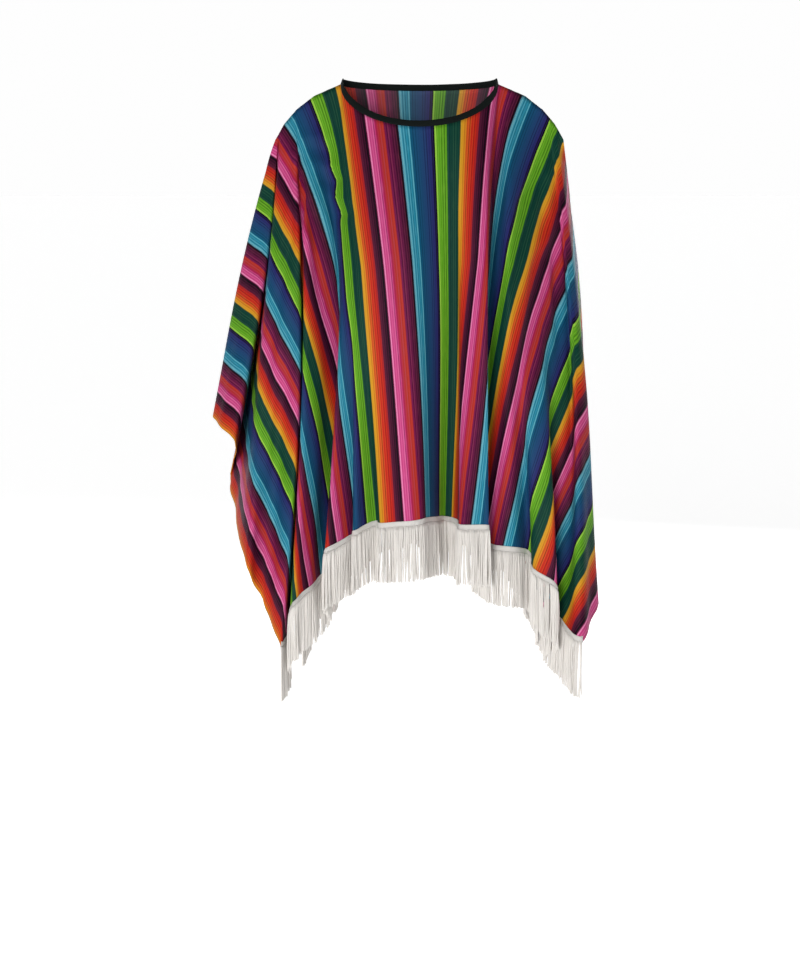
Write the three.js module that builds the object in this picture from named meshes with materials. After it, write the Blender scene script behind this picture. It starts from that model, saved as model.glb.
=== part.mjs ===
import * as THREE from 'three';

// A serape-striped poncho, worn: one rectangle of cloth with a bound neck hole, folded over
// the shoulders, and a knotless fringe sewn along the front and the back hem.
// Millimetres, +Z up, front towards -Y. The origin is the middle of the neck, at shoulder height.

// The cut. u runs across the cloth from the middle, v runs from the shoulder fold to a hem.
const halfWidth = 750;
const hem = 778;
const neckHole = { halfWidth: 129, frontDrop: 105, backDrop: 45 };

// The walls.
const clothWall = 1.6;
const seamGap = 0.3;
const binding = { width: 10, thickness: 2, gap: 0.6 };
const header = { width: 10, thickness: 1 };
// slopeGap is how much further below a steeply sloping hem the fringe starts.
const fringe = { length: 96, thickness: 1, slopeGap: 4.2 };

// How finely the wall is faceted: columns from one fold to the next, and the rows from the
// shoulder (0) to the edge of the cloth (1). One more row lies along the top of the header.
const columnsPerFold = 2;
const rowShares = [0, 0.05, 0.11, 0.18, 0.26, 0.35, 0.44, 0.53, 0.62, 0.71, 0.8, 0.9];

// The shoulder line on a general figure: distance along the cloth, then where it lies.
const shoulderLine = [
  // u, x, z
  [129, 132, 0],
  [175, 178, -20],
  [210, 207, -42],
  [240, 228, -66],
  [268, 243, -92],
];
const shoulderY = 15;
// How the neck edge leans from the shoulder line: run in y and fall in z for each unit of v.
const neckLean = { frontRun: -0.743, frontFall: -0.667, backRun: 0.96, backFall: -0.22 };

// How much of its cut length each part of the hem hangs at. Cloth on the bias, at the
// corners, gathers a little of its length up.
const hangShares = [
  // u, share
  [-750, 0.955],
  [-600, 0.985],
  [-400, 0.995],
  [120, 0.995],
  [350, 0.962],
  [560, 0.962],
  [690, 0.93],
  [750, 0.915],
];
const chestShare = 0.99;
// A fold that opens late gathers up this many times as much as a long one there.
const lateShare = 1.3;
// How soon it leaves its neighbours: the straight part of its opening, and the rest is eased.
const straightOpening = 0.75;
// By this share of the drop the folds are fully rounded.
const roundingStart = 0.12;
// Down to this share of the drop the cloth is drawn to the line that it hangs from.
const neckBlend = 0.25;
// The header and the fringe cross a fold that turns in further than this, in radians.
const tightestTurn = 1.4;
// At a sharp fold the wall's corner reaches out by up to one over this.
const mostLean = 0.7;

// The folds, in order from the left shoulder tip to the right one, for the front and the back.
// A station is [u, v, x, y]: a point of the cut, and where it hangs in plan. Its height
// follows from the length of cloth above it. A fold that starts at the shoulder has its mark
// there, a station at the chest and one at the edge.
const folds = [
  // name, mark, front chest, front edge, back chest, back edge, softness
  long('left tip', -268, [-292, 0, -252, 15], [-750, 0, -363, -40],
    [-292, 0, -252, 15], [-750, 0, -363, -40], 0.35),
  long('left wing tuck', -262, [-388, 80, -248, -28], [-750, 192, -303, -100],
    [-390, 48, -238, 40], [-750, 156, -275, 145], 0.3),
  long('left wing flap', -257, [-388, 112, -250, 2], [-750, 353, -331, 15],
    [-385, 95, -240, 16], [-750, 311, -285, 25], 0.3),
  long('left wing ridge', -247, [-388, 171, -250, -62], [-750, 568, -290, -165],
    [-380, 150, -222, 76], [-750, 467, -240, 125], 0.3),
  late('left ripple', 0.45, [-750, 674, -262, -120], [-750, 622, -245, 25], 0.3),
  long('left corner', -222, [-380, 305, -196, -112], [-750, hem, -230, -169],
    [-370, 240, -200, 70], [-750, hem, -205, 100], 0.25),
  long('left slit', -212, [-358, 312, -194, -86], [-665, hem, -221, -98],
    [-350, 280, -186, 108], [-600, hem, -195, 212], 0.3),
  long('left ridge', -202, [-325, 325, -190, -122], [-580, hem, -216, -182],
    [-300, 270, -165, 74], [-450, hem, -150, 90], 0.3),
  long('left trough', -172, [-240, 355, -130, -82], [-400, hem, -148, -92],
    [-222, 300, -140, 132], [-350, hem, -122, 184], 0.3),
  long('left neck ridge', -129, [-200, 372, -131, -122], [-328, hem, -159, -178],
    [-180, 290, -112, 102], [-305, hem, -105, 146], 0.25),
  late('small trough', 0.5, [-245, hem, -104, -130], [-255, hem, -88, 186], 0.3),
  late('small ridge', 0.5, [-220, hem, -111, -158], [-215, hem, -78, 152], 0.3),
  late('shallow trough', 0.5, [-160, hem, -69, -122], [-170, hem, -60, 186], 0.3),
  long('shallow ridge', -112, [-133, 338, -93, -138], [-138, hem, -64, -148],
    [-128, 300, -85, 116], [-125, hem, -40, 150], 0.3),
  long('middle swell, left', -75, [-82, 345, -53, -146], [-89, hem, -24, -172],
    [-82, 300, -55, 140], [-75, hem, -15, 188], 0.4),
  long('middle swell, right', -38, [-45, 340, -19, -152], [-45, hem, 12, -162],
    [-45, 300, -28, 114], [-10, hem, 5, 136], 0.35),
  long('middle valley', 28, [38, 340, 42, -122], [45, hem, 41, -82],
    [32, 300, 22, 138], [60, hem, 38, 186], 0.35),
  long('middle valley wall', 52, [62, 340, 62, -122], [72, hem, 62, -84],
    [60, 300, 40, 120], [100, hem, 50, 150], 0.35),
  long('middle ridge', 70, [78, 340, 69, -138], [150, hem, 66, -162],
    [82, 300, 56, 136], [150, hem, 75, 188], 0.3),
  long('right lap ridge', 108, [142, 340, 112, -152], [212, hem, 118, -192],
    [140, 300, 92, 104], [210, hem, 98, 136], 0.25),
  long('right lap tuck', 116, [158, 330, 112, -128], [275, hem, 84, -130],
    [160, 300, 104, 121], [275, hem, 112, 192], 0.25),
  long('right neck ridge', 129, [186, 330, 118, -100], [348, hem, 118, -158],
    [180, 290, 116, 106], [340, hem, 130, 136], 0.3),
  long('right swell', 150, [235, 306, 144, -134], [400, hem, 154, -172],
    [235, 240, 150, 116], [400, hem, 152, 188], 0.35),
  late('right trough', 0.5, [440, hem, 185, -136], [460, hem, 166, 136], 0.3),
  late('right ridge', 0.5, [488, hem, 190, -176], [505, hem, 182, 168], 0.3),
  late('outer ridge', 0.45, [546, hem, 233, -197], [560, hem, 192, 124], 0.3),
  late('outer tuck', 0.45, [615, hem, 208, -126], [610, hem, 200, 160], 0.3),
  late('outer swell', 0.5, [684, hem, 236, -160], [670, hem, 210, 118], 0.3),
  long('right slit', 222, [410, 310, 250, -68], [705, hem, 243, -178],
    [385, 280, 215, 56], [715, hem, 218, 150], 0.3),
  long('right slit lip', 229, [435, 313, 253, -82], [732, hem, 253, -200],
    [405, 285, 223, 71], [735, hem, 221, 133], 0.3),
  long('right corner', 234, [437, 293, 255, -78], [750, hem, 268, -205],
    [410, 270, 229, 64], [750, hem, 229, 119], 0.15),
  long('right wing ridge', 240, [437, 270, 269, -58], [750, 685, 302, -140],
    [415, 240, 243, 93], [750, 654, 260, 205], 0.3),
  long('right wing hollow', 247, [430, 200, 268, -15], [750, 539, 266, -40],
    [415, 175, 237, 50], [750, 539, 239, 110], 0.3),
  long('right wing flap', 254, [425, 140, 268, 43], [750, 373, 290, 92],
    [412, 115, 259, 91], [750, 373, 276, 198], 0.3),
  long('right wing tuck', 261, [420, 70, 258, -5], [750, 187, 254, -55],
    [408, 60, 246, 22], [750, 187, 240, 30], 0.3),
  long('right tip', 268, [366, 0, 257, 46], [750, 0, 268, 112],
    [366, 0, 257, 46], [750, 0, 268, 112], 0.35),
];

/** A fold that starts at the shoulder line or at the neck. */
function long(name, mark, frontChest, frontEdge, backChest, backEdge, softness) {
  return {
    name,
    mark,
    softness,
    front: { chest: station(frontChest), edge: station(frontEdge) },
    back: { chest: station(backChest), edge: station(backEdge) },
  };
}

/** A fold that only opens part of the way down, between two long ones. */
function late(name, opens, frontEdge, backEdge, softness) {
  return {
    name,
    opens,
    softness,
    front: { edge: station(frontEdge) },
    back: { edge: station(backEdge) },
  };
}

function station([u, v, x, y]) {
  return { flat: new THREE.Vector2(u, v), x, y };
}

/** Value in a table of [key, ...values] rows, straight between rows. */
function lookUp(table, key, column) {
  const last = table.length - 1;
  if (key <= table[0][0]) return table[0][column];
  if (key >= table[last][0]) return table[last][column];
  const i = table.findIndex((row) => row[0] > key);
  const share = (key - table[i - 1][0]) / (table[i][0] - table[i - 1][0]);
  return THREE.MathUtils.lerp(table[i - 1][column], table[i][column], share);
}

/** Where a mark on the shoulder line or on the neck edge lies. */
function topPoint(mark, side) {
  const across = Math.abs(mark);
  const sign = Math.sign(mark);
  if (across >= neckHole.halfWidth) {
    const x = lookUp(shoulderLine, across, 1);
    return new THREE.Vector3(sign * x, shoulderY, lookUp(shoulderLine, across, 2));
  }
  const v = topDrop(mark, side);
  const x = (mark * shoulderLine[0][1]) / neckHole.halfWidth;
  const run = side === 'front' ? neckLean.frontRun : neckLean.backRun;
  const fall = side === 'front' ? neckLean.frontFall : neckLean.backFall;
  return new THREE.Vector3(x, shoulderY + run * v, fall * v);
}

/** The neck hole is half an ellipse in front and half a flatter one behind. */
function topDrop(mark, side) {
  const share = Math.min(1, Math.abs(mark) / neckHole.halfWidth);
  const drop = side === 'front' ? neckHole.frontDrop : neckHole.backDrop;
  return drop * Math.sqrt(1 - share * share);
}

function hangShare(flat) {
  const full = hangShares[2][1];
  const share = lookUp(hangShares, flat.x, 1);
  if (Math.abs(flat.x) < halfWidth) return share;
  return full - (full - share) * (flat.y / hem) ** 2;
}

/** The point below `from` that hangs at a place in plan on a length of cloth. */
function hangFrom(from, place, length) {
  const dx = place.x - from.x;
  const dy = place.y - from.y;
  const fall = Math.sqrt(length * length - dx * dx - dy * dy);
  return new THREE.Vector3(place.x, place.y, from.z - fall);
}

/** A smooth line through the shoulder, the chest and the edge, by share of its length. */
function foldLine(top, chest, edge, upper, lower) {
  const slopeUpper = chest.clone().sub(top).divideScalar(upper);
  const slopeLower = edge.clone().sub(chest).divideScalar(lower);
  const slopeChest = new THREE.Vector3()
    .addScaledVector(slopeUpper, lower / (upper + lower))
    .addScaledVector(slopeLower, upper / (upper + lower));
  const slopeTop = slopeUpper.clone().multiplyScalar(1.5).addScaledVector(slopeChest, -0.5);
  const slopeEdge = slopeLower.clone().multiplyScalar(1.5).addScaledVector(slopeChest, -0.5);
  return (share) => {
    const run = share * (upper + lower);
    if (run <= upper) return hermite(top, chest, slopeTop, slopeChest, upper, run / upper);
    return hermite(chest, edge, slopeChest, slopeEdge, lower, (run - upper) / lower);
  };
}

function hermite(a, b, slopeA, slopeB, length, s) {
  const s2 = s * s;
  const s3 = s2 * s;
  return new THREE.Vector3()
    .addScaledVector(a, 2 * s3 - 3 * s2 + 1)
    .addScaledVector(slopeA, (s3 - 2 * s2 + s) * length)
    .addScaledVector(b, 3 * s2 - 2 * s3)
    .addScaledVector(slopeB, (s3 - s2) * length);
}

/** The line that one long fold hangs in, with its length on the cut. */
function longLine(fold, side) {
  const { chest, edge } = fold[side];
  const top = topPoint(fold.mark, side);
  const topDropHere = Math.abs(fold.mark) < neckHole.halfWidth ? topDrop(fold.mark, side) : 0;
  const start = new THREE.Vector2(fold.mark, topDropHere);
  const upper = chest.flat.distanceTo(start);
  const lower = edge.flat.distanceTo(chest.flat);
  const chestPoint = hangFrom(top, chest, upper * chestShare);
  const edgePoint = hangFrom(chestPoint, edge, lower * hangShare(edge.flat));
  const bend = upper / (upper + lower);
  return {
    mark: fold.mark,
    edge: edge.flat,
    point: foldLine(top, chestPoint, edgePoint, upper, lower),
    flat: (share) => {
      if (share < bend) return start.clone().lerp(chest.flat, share / bend);
      return chest.flat.clone().lerp(edge.flat, (share - bend) / (1 - bend));
    },
  };
}

/** A late fold lies between its two long neighbours, and leaves them as it opens. */
function lateLine(fold, side, left, right, place) {
  const edge = fold[side].edge;
  const share = left.edge.distanceTo(edge.flat) / left.edge.distanceTo(right.edge);
  const base = (t) => left.point(t).lerp(right.point(t), share);
  const flat = (t) => left.flat(t).lerp(right.flat(t), share);
  const length = edge.flat.distanceTo(flat(fold.opens));
  const hanging = length * (1 - (1 - hangShare(edge.flat)) * lateShare);
  const shift = hangFrom(base(fold.opens), edge, hanging).sub(base(1));
  return {
    mark: THREE.MathUtils.lerp(left.mark, right.mark, place),
    edge: edge.flat,
    flat,
    point: (t) => {
      const run = Math.max(0, (t - fold.opens) / (1 - fold.opens));
      const eased = THREE.MathUtils.smoothstep(run, 0, 1);
      return base(t).addScaledVector(shift, THREE.MathUtils.lerp(eased, run, straightOpening));
    },
  };
}

/** The lines of one side's folds, from left to right. */
function sideLines(side) {
  const lines = folds.map((fold) => (fold.opens ? null : longLine(fold, side)));
  let leftIndex = 0;
  folds.forEach((fold, i) => {
    if (fold.opens) {
      const rightIndex = i + folds.slice(i).findIndex((other) => !other.opens);
      const place = (i - leftIndex) / (rightIndex - leftIndex);
      lines[i] = lateLine(fold, side, lines[leftIndex], lines[rightIndex], place);
    } else {
      leftIndex = i;
    }
  });
  return lines.map((line, i) => ({ ...line, side, softness: folds[i].softness }));
}

// All lines in a ring: the front from left to right, then the back from right to left.
const frontLines = sideLines('front');
const ring = frontLines.concat(sideLines('back').slice(1, -1).reverse());
const rightTip = frontLines.length - 1;

/** A point of the cloth's middle surface, by column in the ring and share of the drop. */
function clothPoint(column, t) {
  const i = Math.floor(column);
  const f = column - i;
  const near = (k) => ring[(i + k + ring.length) % ring.length];
  const at = (k, l, s) => near(k).point(t).lerp(near(l).point(t), s);
  const straight = at(0, 1, f);
  const rounding = Math.min(1, t / roundingStart);
  const softHere = near(0).softness;
  const softNext = near(1).softness;
  const point = straight.clone();
  if (f < softHere) {
    const s = (f + softHere) / (2 * softHere);
    point.lerp(roundedOff(at(0, -1, softHere), near(0).point(t), at(0, 1, softHere), s), rounding);
  } else if (f > 1 - softNext) {
    const s = (f - 1 + softNext) / (2 * softNext);
    point.lerp(roundedOff(at(1, 0, softNext), near(1).point(t), at(1, 2, softNext), s), rounding);
  }
  // Between two marks the top edge keeps to the shoulder line or the neck curve.
  const mark = THREE.MathUtils.lerp(near(0).mark, near(1).mark, f);
  const side = column <= rightTip ? 'front' : 'back';
  const top = topPoint(mark, side);
  const chord = near(0).point(0).lerp(near(1).point(0), f);
  const blend = Math.max(0, 1 - t / neckBlend) ** 2;
  return point.addScaledVector(top.sub(chord), blend);
}

/** A corner turned by a quadratic arc from a to b. */
function roundedOff(a, corner, b, s) {
  return new THREE.Vector3()
    .addScaledVector(a, (1 - s) * (1 - s))
    .addScaledVector(corner, 2 * s * (1 - s))
    .addScaledVector(b, s * s);
}

/** The cloth's middle surface as a ring of columns, with a row along the header's top. */
function clothGrid() {
  const columns = [];
  for (let c = 0; c < ring.length * columnsPerFold; c += 1) {
    const column = c / columnsPerFold;
    const rows = rowShares.map((t) => clothPoint(column, t));
    const end = clothPoint(column, 1);
    const above = end.clone().sub(rows[rows.length - 1]);
    const headerTop = end.clone().addScaledVector(above.normalize(), -header.width);
    columns.push([...rows, headerTop, end]);
  }
  return columns;
}

const grid = clothGrid();
const columnCount = grid.length;
const lastRow = grid[0].length - 1;
const columnOf = (name) => folds.findIndex((fold) => fold.name === name) * columnsPerFold;
const rightTipColumn = columnOf('right tip');
const leftNeckColumn = columnOf('left neck ridge');
const rightNeckColumn = columnOf('right neck ridge');

/** Front and back share their top row along both shoulders, where the cloth is folded over. */
function welded(column, row) {
  const c = (column + columnCount) % columnCount;
  if (row > 0 || c <= rightTipColumn) return [c, row];
  const front = columnCount - c;
  const onShoulder = front <= leftNeckColumn || front >= rightNeckColumn;
  return onShoulder ? [front, row] : [c, row];
}

/** Corner keys of the two triangles of each cell, outside up. */
function clothTriangles() {
  const triangles = [];
  for (let c = 0; c < columnCount; c += 1) {
    for (let r = 0; r < lastRow; r += 1) {
      const a = welded(c, r);
      const b = welded(c + 1, r);
      const d = welded(c, r + 1);
      const e = welded(c + 1, r + 1);
      triangles.push([a, d, e], [a, e, b]);
    }
  }
  return triangles;
}

const keyOf = ([c, r]) => c * (lastRow + 1) + r;
const pointAt = ([c, r]) => grid[c][r];

/** The outward direction at each point of the grid, longer where the cloth folds sharply. */
function clothNormals(triangles) {
  const facesAt = new Map();
  for (const corners of triangles) {
    const [a, b, c] = corners.map(pointAt);
    const face = b.clone().sub(a).cross(c.clone().sub(a));
    for (const key of corners.map(keyOf)) {
      if (!facesAt.has(key)) facesAt.set(key, []);
      facesAt.get(key).push(face);
    }
  }
  const normals = new Map();
  facesAt.forEach((faces, key) => {
    const normal = faces.reduce((sum, face) => sum.add(face), new THREE.Vector3()).normalize();
    const area = faces.reduce((sum, face) => sum + face.length(), 0);
    const lean = faces.reduce((sum, face) => sum + face.dot(normal), 0) / area;
    normals.set(key, normal.divideScalar(Math.max(lean, mostLean)));
  });
  return normals;
}

const triangles = clothTriangles();
const normals = clothNormals(triangles);
const normalAt = (corner) => normals.get(keyOf(corner));
const moved = (corner, distance) =>
  pointAt(corner).clone().addScaledVector(normalAt(corner), distance);

/** A closed body from loose triangles of points. */
function bodyFrom(faces) {
  const positions = [];
  for (const face of faces) {
    for (const point of face) positions.push(point.x, point.y, point.z);
  }
  const geometry = new THREE.BufferGeometry();
  geometry.setAttribute('position', new THREE.Float32BufferAttribute(positions, 3));
  geometry.computeVertexNormals();
  return geometry;
}

/** Two triangles over four corners, seen counter-clockwise from outside. */
function quad(a, b, c, d) {
  return [[a, b, c], [a, c, d]];
}

/** The poncho's cloth: a wall round the middle surface, open at the neck, sides and hems. */
function clothGeometry() {
  const half = clothWall / 2;
  const faces = [];
  for (const corners of triangles) {
    faces.push(corners.map((corner) => moved(corner, half)));
    faces.push(corners.map((corner) => moved(corner, -half)).reverse());
  }
  const closeEdge = (a, b) => {
    faces.push(...quad(moved(a, half), moved(a, -half), moved(b, -half), moved(b, half)));
  };
  for (let c = 0; c < columnCount; c += 1) {
    closeEdge(welded(c, lastRow), welded(c + 1, lastRow));
  }
  const neckColumns = neckRing();
  neckColumns.forEach((corner, i) => {
    closeEdge(neckColumns[(i + 1) % neckColumns.length], corner);
  });
  return bodyFrom(faces);
}

/** The neck edge's corners: along the front from left to right, and back along the back. */
function neckRing() {
  const corners = [];
  for (let c = leftNeckColumn; c <= rightNeckColumn; c += 1) corners.push(welded(c, 0));
  const backStart = columnCount - rightNeckColumn + 1;
  const backEnd = columnCount - leftNeckColumn - 1;
  for (let c = backStart; c <= backEnd; c += 1) corners.push(welded(c, 0));
  return corners;
}

/** Joins four-cornered sections into a body, closed in a ring or capped at its ends. */
function sweepSections(sections, closed) {
  const faces = [];
  const count = sections.length;
  const spans = closed ? count : count - 1;
  for (let i = 0; i < spans; i += 1) {
    const here = sections[i];
    const next = sections[(i + 1) % count];
    // Opposite faces are split along the same diagonal, so that a twisted band keeps its wall.
    faces.push(...quad(here[0], here[1], next[1], next[0]));
    faces.push(...quad(here[1], here[2], next[2], next[1]));
    faces.push(...quad(here[3], next[3], next[2], here[2]));
    faces.push(...quad(here[0], next[0], next[3], here[3]));
  }
  if (!closed) {
    const [a, b, c, d] = sections[0];
    const [e, f, g, h] = sections[count - 1];
    faces.push(...quad(d, c, b, a), ...quad(e, f, g, h));
  }
  return bodyFrom(faces);
}

/** The black binding: a band that carries the cloth on past its neck edge, all round. */
function bindingGeometry() {
  const corners = neckRing();
  const half = binding.thickness / 2;
  const sections = corners.map((corner, i) => {
    const before = pointAt(corners[(i + corners.length - 1) % corners.length]);
    const after = pointAt(corners[(i + 1) % corners.length]);
    const along = after.clone().sub(before).normalize();
    const out = normalAt(corner).clone().normalize();
    const inward = out.clone().cross(along).normalize();
    const at = (reach, height) =>
      pointAt(corner).clone().addScaledVector(inward, reach).addScaledVector(out, height);
    const far = binding.gap + binding.width;
    return [at(binding.gap, half), at(binding.gap, -half), at(far, -half), at(far, half)];
  });
  return sweepSections(sections, true);
}

/** The columns of a hem, as the ring goes. What is sewn on bridges a fold that shuts on itself. */
function hemColumns(side) {
  const left = columnOf('left corner');
  const right = columnOf('right corner');
  const first = side === 'front' ? left : columnCount - right;
  const last = side === 'front' ? right : columnCount - left;
  const columns = Array.from({ length: last - first + 1 }, (_, i) => first + i);
  return columns.filter((c) => c === first || c === last || inwardTurn(c) < tightestTurn);
}

/** How far the edge of the cloth turns in on itself at a column, in plan. */
function inwardTurn(c) {
  const [before, here, after] = [c - 1, c, c + 1].map((k) => pointAt(welded(k, lastRow)));
  const heading = Math.atan2(here.y - before.y, here.x - before.x);
  const next = Math.atan2(after.y - here.y, after.x - here.x);
  return -Math.atan2(Math.sin(next - heading), Math.cos(next - heading));
}

/** The way a line of points heads at one of them: half-way between its two stretches. */
function headingAt(points, i) {
  const here = points[i];
  const before = points[Math.max(0, i - 1)];
  const after = points[Math.min(points.length - 1, i + 1)];
  const from = here.clone().sub(before).normalize();
  const on = after.clone().sub(here).normalize();
  return from.add(on).normalize();
}

/** The header: the fringe's woven band, sewn on the outside along the hem. */
function headerGeometry(side) {
  const reach = clothWall / 2 + seamGap;
  const columns = hemColumns(side);
  const tops = columns.map((c) => moved(welded(c, lastRow - 1), reach));
  const bottoms = columns.map((c) => moved(welded(c, lastRow), reach));
  const sections = columns.map((c, i) => {
    const down = bottoms[i].clone().sub(tops[i]);
    const out = down.cross(headingAt(bottoms, i)).setLength(header.thickness);
    return [tops[i], tops[i].clone().add(out), bottoms[i].clone().add(out), bottoms[i]];
  });
  return sweepSections(sections, false);
}

/** The fringe: the reach of its strands, which hang straight down below the header. */
function fringeGeometry(side) {
  const columns = hemColumns(side);
  const middle = clothWall / 2 + seamGap + header.thickness;
  const half = fringe.thickness / 2;
  const hemPoints = columns.map((c) => pointAt(welded(c, lastRow)));
  const plan = hemPoints.map((point) => point.clone().setZ(0));
  const sections = columns.map((c, i) => {
    const corner = welded(c, lastRow);
    const heading = headingAt(plan, i);
    const out = new THREE.Vector3(heading.y, -heading.x, 0);
    const before = hemPoints[Math.max(0, i - 1)];
    const after = hemPoints[Math.min(columns.length - 1, i + 1)];
    const slope = Math.abs(after.z - before.z) / Math.hypot(after.x - before.x, after.y - before.y);
    const top = moved(corner, middle);
    top.z = Math.min(top.z, moved(corner, -middle).z);
    top.z -= seamGap + fringe.slopeGap * Math.min(1, slope);
    const bottom = top.clone().setZ(top.z - fringe.length);
    const shifted = (point, distance) => point.clone().addScaledVector(out, distance);
    return [shifted(top, -half), shifted(top, half), shifted(bottom, half), shifted(bottom, -half)];
  });
  return sweepSections(sections, false);
}

const finishes = {
  cloth: { color: 0x9a3f52, roughness: 0.55, metalness: 0 },
  binding: { color: 0x141a17, roughness: 0.7, metalness: 0 },
  fringe: { color: 0xe9e7e1, roughness: 0.6, metalness: 0 },
};

const poncho = new THREE.Group();

function add(name, geometry, finish) {
  const mesh = new THREE.Mesh(geometry, new THREE.MeshStandardMaterial(finish));
  mesh.name = name;
  poncho.add(mesh);
}

add('cloth', clothGeometry(), finishes.cloth);
add('neck_binding', bindingGeometry(), finishes.binding);
for (const side of ['front', 'back']) {
  add(`fringe_header_${side}`, headerGeometry(side), finishes.fringe);
  add(`fringe_${side}`, fringeGeometry(side), finishes.fringe);
}

export default poncho;
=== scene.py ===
"""A serape-striped poncho, worn: striped cloth, a bound neck hole and a fringe on both hems."""

import math

import bmesh
import bpy
import numpy as np
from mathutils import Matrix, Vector
from mathutils.bvhtree import BVHTree


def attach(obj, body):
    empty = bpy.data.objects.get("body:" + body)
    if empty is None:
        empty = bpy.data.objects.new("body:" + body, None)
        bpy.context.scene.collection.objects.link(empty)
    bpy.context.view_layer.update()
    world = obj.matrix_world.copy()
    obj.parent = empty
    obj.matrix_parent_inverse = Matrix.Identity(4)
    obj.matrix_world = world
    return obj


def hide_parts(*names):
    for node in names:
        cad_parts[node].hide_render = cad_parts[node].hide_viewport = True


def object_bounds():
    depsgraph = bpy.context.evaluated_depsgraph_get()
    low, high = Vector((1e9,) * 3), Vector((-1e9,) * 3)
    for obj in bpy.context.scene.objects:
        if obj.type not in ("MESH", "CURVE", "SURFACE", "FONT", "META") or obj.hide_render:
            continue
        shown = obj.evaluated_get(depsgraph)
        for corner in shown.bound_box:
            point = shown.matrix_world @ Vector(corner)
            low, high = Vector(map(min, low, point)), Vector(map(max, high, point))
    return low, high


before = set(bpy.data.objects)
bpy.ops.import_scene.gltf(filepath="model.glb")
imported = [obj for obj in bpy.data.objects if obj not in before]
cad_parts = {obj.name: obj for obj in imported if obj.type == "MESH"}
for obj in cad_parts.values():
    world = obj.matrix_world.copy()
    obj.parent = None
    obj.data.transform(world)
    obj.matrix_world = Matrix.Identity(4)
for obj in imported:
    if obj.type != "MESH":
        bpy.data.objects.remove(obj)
CAD_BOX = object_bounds()

bl_info = {
    "name": "Striped poncho",
    "version": (1, 0, 0),
    "blender": (4, 5, 0),
    "location": "3D View > Sidebar > Poncho",
    "description": "Builds a worn serape-striped poncho with a bound neck and fringed hems",
    "category": "Object",
}

MM = 0.001

# The cut, in millimetres. u runs across the cloth from the middle, v from the shoulder fold
# to a hem, and v is negative behind.
HALF_WIDTH = 750.0
HEM = 778.0
NECK_HALF_WIDTH = 129.0
NECK_DROP = {"front": 105.0, "back": 45.0}

# The shoulder line: distance along the cloth from the middle, then x and z.
SHOULDER = np.array(
    [(0, 0, 0), (129, 132, 0), (175, 178, -20), (210, 207, -42), (240, 228, -66), (268, 243, -92)],
    float,
)
SHOULDER_Y = 15.0
# How the neck edge leans from the shoulder line: run in y and fall in z for each unit of v.
NECK_LEAN = {"front": (-0.743, -0.667), "back": (0.96, -0.22)}

# How much of its cut length each part of the hem hangs at.
HANG_SHARES = np.array(
    [
        (-750, 0.955),
        (-600, 0.985),
        (-400, 0.995),
        (120, 0.995),
        (350, 0.962),
        (560, 0.962),
        (690, 0.93),
        (750, 0.915),
    ]
)
# A fold hangs at this share of its length down to the chest. A late fold loses this much more
# height than a long one, and opens by this share at an even rate.
CHEST_SHARE = 0.99
LATE_SHARE = 1.3
STRAIGHT_OPENING = 0.75
# Folds become round, and the top edge's own curve fades out, over these shares of the drop.
ROUNDING_START = 0.12
NECK_BLEND = 0.25
# Ripples and kinks reach no further than a share of the room beside the cloth, which is
# looked for up to a limit, and they fade in over a first share of the drop.
LIFT_SHARE = 0.25
ROOM_LIMIT = 60.0
LIFT_START = 0.06
# The ripples add up layers, each with its own number of waves round the cloth.
RIPPLE_LAYERS = 26
RIPPLE_WAVES = (26, 88)

# The trim, in metres: the binding laps on to the cloth and its round edge stands past its
# width, and the header clears the cloth.
BINDING_LAP = 0.0008
BINDING_EDGE = 0.0004
HEADER_GAP = 0.0003
# A strand starts inside its header, in one of two rows beside the header's middle, and runs on
# square to the hem before it turns down.
STRAND_TUCK = 0.0015
ROW_OFFSET = 0.0007
TURN_DOWN = 0.006
# How far a strand's end swings with its neighbours and strays by itself, sideways and
# outwards, how far outwards all of them stand, and how far a strand is bowed.
SWING = (0.0014, 0.0016)
STRAY = (0.0011, 0.0009)
OUTWARD = 0.0008
BOW = 0.0009
DOWN = np.array([0, 0, -1.0])

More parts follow.
